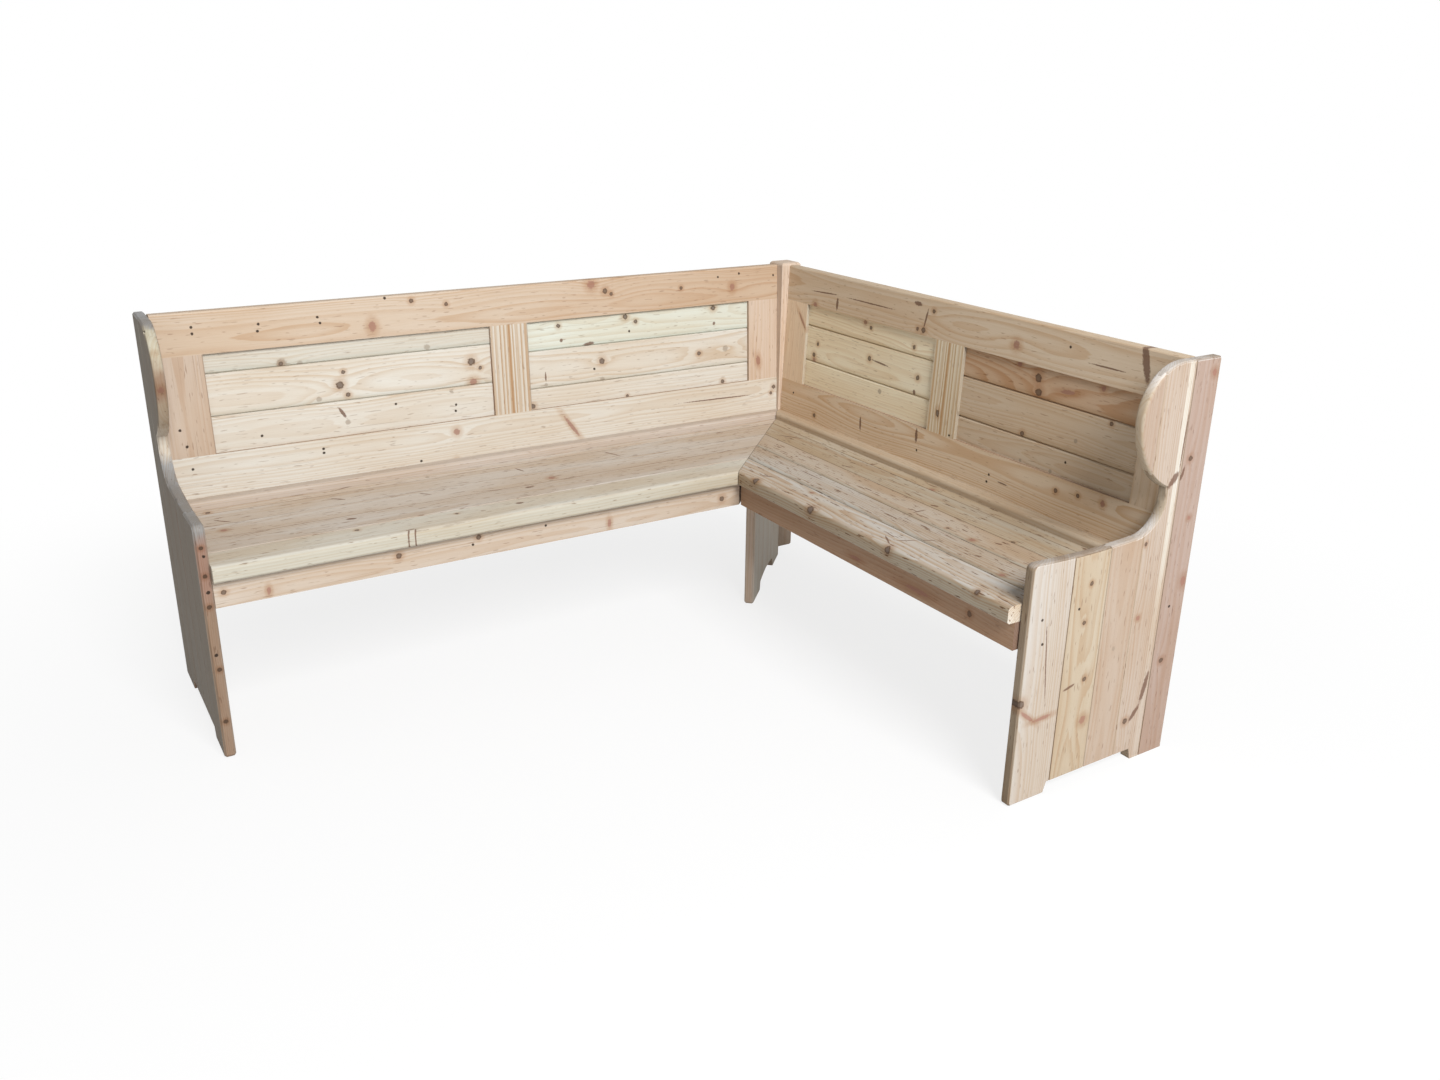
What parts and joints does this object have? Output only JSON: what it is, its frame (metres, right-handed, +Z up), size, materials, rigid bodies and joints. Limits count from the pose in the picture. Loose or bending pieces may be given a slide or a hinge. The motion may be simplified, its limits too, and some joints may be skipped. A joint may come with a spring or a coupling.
{
  "type": "corner bench",
  "caption": "L-shaped wooden corner settle with mitred plank seats, framed and panelled backs, a corner post, a panel leg under the mitre, and winged end panels with armrests.",
  "frame": {"origin": "on the floor, in the middle of the rectangle that the bench fills", "axes": "+X along the long bench, from its free end to the corner; +Y from the seat towards the long bench's back; +Z up. The short bench runs from the corner towards -Y."},
  "size_m": [1.827, 1.5, 0.913],
  "materials": {
    "end_pine": "bare sanded softwood, matt, with knots, old nail marks and grain",
    "seat_pine": "bare sanded softwood, matt, with knots, old nail marks and grain",
    "frame_pine": "bare sanded softwood, matt, with knots, old nail marks and grain",
    "panel_pine": "bare sanded softwood, matt, with knots, old nail marks and grain",
    "apron_pine": "bare sanded softwood, matt, with knots, old nail marks and grain",
    "post_pine": "bare sanded softwood, matt, with knots, old nail marks and grain",
    "leg_pine": "bare sanded softwood, matt, with knots, old nail marks and grain",
    "underframe_pine": "bare sanded softwood, matt, with knots, old nail marks and grain",
    "zinc_screws": "zinc plated, dull"
  },
  "bodies": {
    "root": {"cleat_screws": "zinc_screws", "corner_leg_plank_1": "leg_pine", "corner_leg_plank_2": "leg_pine", "corner_leg_plank_3": "leg_pine", "corner_post": "post_pine", "cross_bearers": "underframe_pine", "left_end_cleat": "underframe_pine", "left_end_plank_1": "end_pine", "left_end_plank_2": "end_pine", "left_end_plank_3": "end_pine", "left_end_plank_4": "end_pine", "left_end_plank_5": "end_pine", "left_end_wing_tip": "end_pine", "long_apron": "apron_pine", "long_back_bottom_rail": "frame_pine", "long_back_corner_board_1": "panel_pine", "long_back_corner_board_2": "panel_pine", "long_back_corner_board_3": "panel_pine", "long_back_corner_stile": "frame_pine", "long_back_end_board_1": "panel_pine", "long_back_end_board_2": "panel_pine", "long_back_end_board_3": "panel_pine", "long_back_end_stile": "frame_pine", "long_back_muntin": "frame_pine", "long_back_top_rail": "frame_pine", "long_corner_cleat": "underframe_pine", "long_rear_seat_rail": "underframe_pine", "long_seat_board_1": "seat_pine", "long_seat_board_2": "seat_pine", "long_seat_board_3": "seat_pine", "long_seat_board_4": "seat_pine", "long_seat_board_5": "seat_pine", "long_seat_fillet": "seat_pine", "right_end_cleat": "underframe_pine", "right_end_plank_1": "end_pine", "right_end_plank_2": "end_pine", "right_end_plank_3": "end_pine", "right_end_plank_4": "end_pine", "right_end_plank_5": "end_pine", "right_end_wing_tip": "end_pine", "short_apron": "apron_pine", "short_back_bottom_rail": "frame_pine", "short_back_corner_board_1": "panel_pine", "short_back_corner_board_2": "panel_pine", "short_back_corner_board_3": "panel_pine", "short_back_corner_stile": "frame_pine", "short_back_end_board_1": "panel_pine", "short_back_end_board_2": "panel_pine", "short_back_end_board_3": "panel_pine", "short_back_end_stile": "frame_pine", "short_back_muntin": "frame_pine", "short_back_top_rail": "frame_pine", "short_corner_cleat": "underframe_pine", "short_rear_seat_rail": "underframe_pine", "short_seat_board_1": "seat_pine", "short_seat_board_2": "seat_pine", "short_seat_board_3": "seat_pine", "short_seat_board_4": "seat_pine", "short_seat_board_5": "seat_pine", "short_seat_fillet": "seat_pine"}
  },
  "joints": []
}
